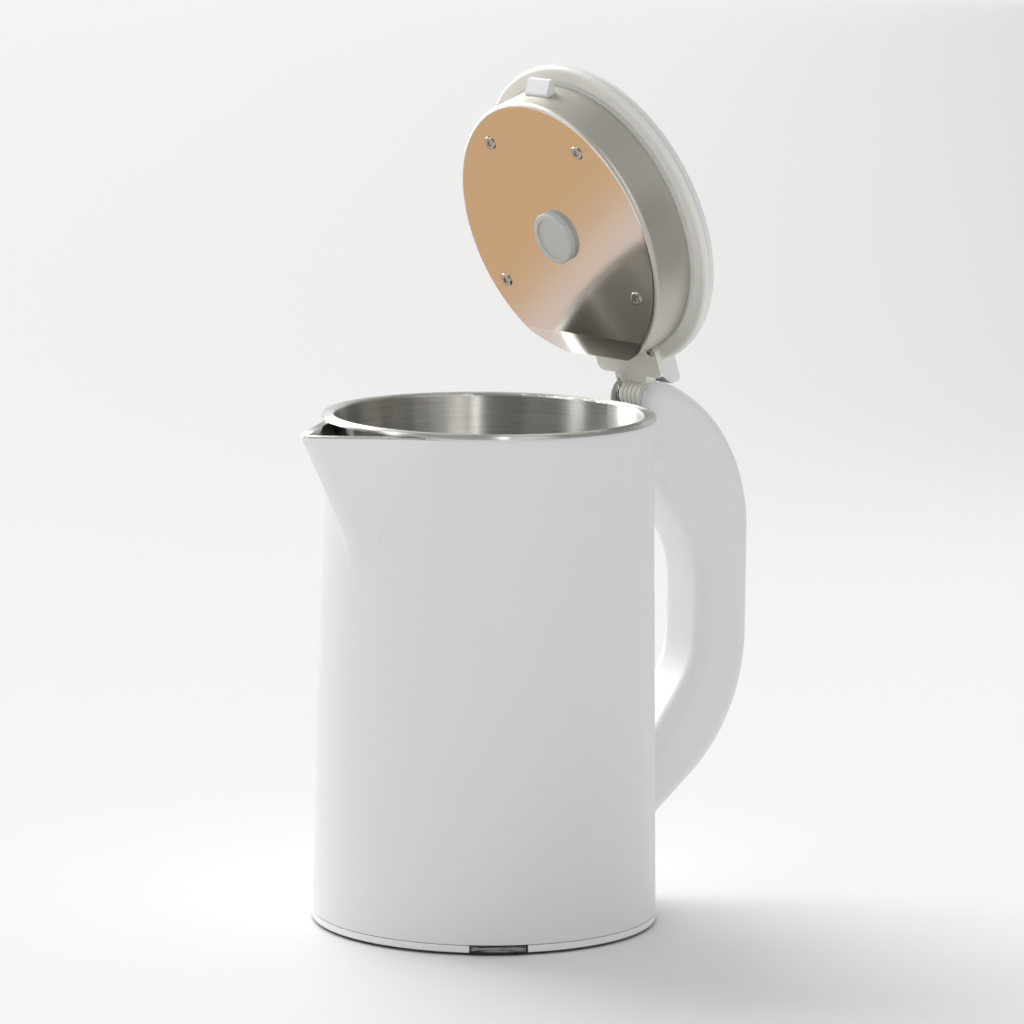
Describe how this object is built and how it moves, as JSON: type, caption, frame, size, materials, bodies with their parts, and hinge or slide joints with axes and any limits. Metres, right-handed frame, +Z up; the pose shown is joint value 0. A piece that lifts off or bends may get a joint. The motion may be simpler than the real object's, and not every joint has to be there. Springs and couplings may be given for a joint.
{
  "type": "electric kettle",
  "caption": "Double-walled electric kettle with a steel pot, V spout, loop handle, base socket, on and off lever and a spring-opened lid with a latch.",
  "frame": {"origin": "centre of the base on the surface it stands on", "axes": "+X towards the handle, -X towards the spout, +Z up"},
  "size_m": [0.2323, 0.145, 0.3587],
  "materials": {
    "white_plastic": "satin moulded polypropylene",
    "lid_plastic": "fine matt moulded plastic",
    "pot_steel": "brushed inside, polished rim",
    "cup_steel": "bright drawn stainless steel",
    "screw_steel": "plain zinc-plated steel",
    "silicone": "matt silicone",
    "foot_rubber": "matt rubber",
    "dark_plastic": "matt moulded plastic",
    "window_plastic": "smoked gloss plastic",
    "board_green": "circuit board",
    "heater_aluminium": "cast and pressed",
    "brass_small": "plain",
    "fuse_ceramic": "unglazed",
    "wire_sleeve": "silicone sleeve"
  },
  "bodies": {
    "body": {"outer_shell": "white_plastic", "inner_liner": "pot_steel", "spout_liner": "pot_steel", "rim_gasket": "silicone", "base_cover": "white_plastic", "base_screws": "screw_steel", "rubber_feet": "foot_rubber", "indicator_frame": "dark_plastic", "indicator_window": "window_plastic", "indicator_board": "board_green", "heater_plate": "heater_aluminium", "heating_element": "heater_aluminium", "heater_terminals": "screw_steel", "control_unit": "dark_plastic", "control_studs": "brass_small", "cutout_bimetals": "brass_small", "connector_socket": "dark_plastic", "contact_rings": "brass_small", "thermal_fuse": "fuse_ceramic", "steam_switch_housing": "dark_plastic", "steam_bimetal": "brass_small", "steam_grommet": "silicone", "steam_tube": "silicone", "live_wire": "wire_sleeve", "neutral_wire": "wire_sleeve", "lamp_wire": "wire_sleeve", "switch_pin": "screw_steel", "handle_left": "white_plastic", "handle_right": "white_plastic", "handle_screws": "screw_steel", "handle_mount_screws": "screw_steel", "hinge_pin": "screw_steel", "torsion_spring": "screw_steel"},
    "switch": {"switch_lever": "white_plastic"},
    "lid": {"lid_cover": "white_plastic", "lid_frame": "lid_plastic", "lid_gasket": "silicone", "lid_cup": "cup_steel", "lid_screws": "screw_steel", "steam_plug": "silicone", "plug_nut": "lid_plastic", "hinge_arm": "lid_plastic", "hinge_arm_screws": "screw_steel", "latch_spring": "screw_steel"},
    "latch": {"latch_slide": "lid_plastic"},
    "button": {"release_button": "white_plastic"}
  },
  "joints": [
    {"name": "lid_hinge", "type": "hinge", "parent": "body", "child": "lid", "pos_m": [0.081, 0, 0.217], "axis": [0, 1, 0], "range_deg": [-70.5, 0], "stiffness_Nm_per_rad": 0.15, "springref_deg": 85.94, "deforming": ["torsion_spring"]},
    {"name": "button_press", "type": "slide", "parent": "lid", "child": "button", "axis": [-0.9426, 0, -0.3338], "range_m": [0, 0.003]},
    {"name": "latch_slide", "type": "slide", "parent": "lid", "child": "latch", "axis": [0.3338, 0, -0.9426], "range_m": [0, 0.003], "stiffness_N_per_m": 300, "springref_m": -0.003, "deforming": ["latch_spring"]},
    {"name": "switch_tilt", "type": "hinge", "parent": "body", "child": "switch", "pos_m": [0.062, 0, 0.016], "axis": [0, 1, 0], "range_deg": [0, 12]}
  ],
  "couplings": [
    {"joint": "latch_slide", "follows": "button_press", "ratio": 1}
  ]
}
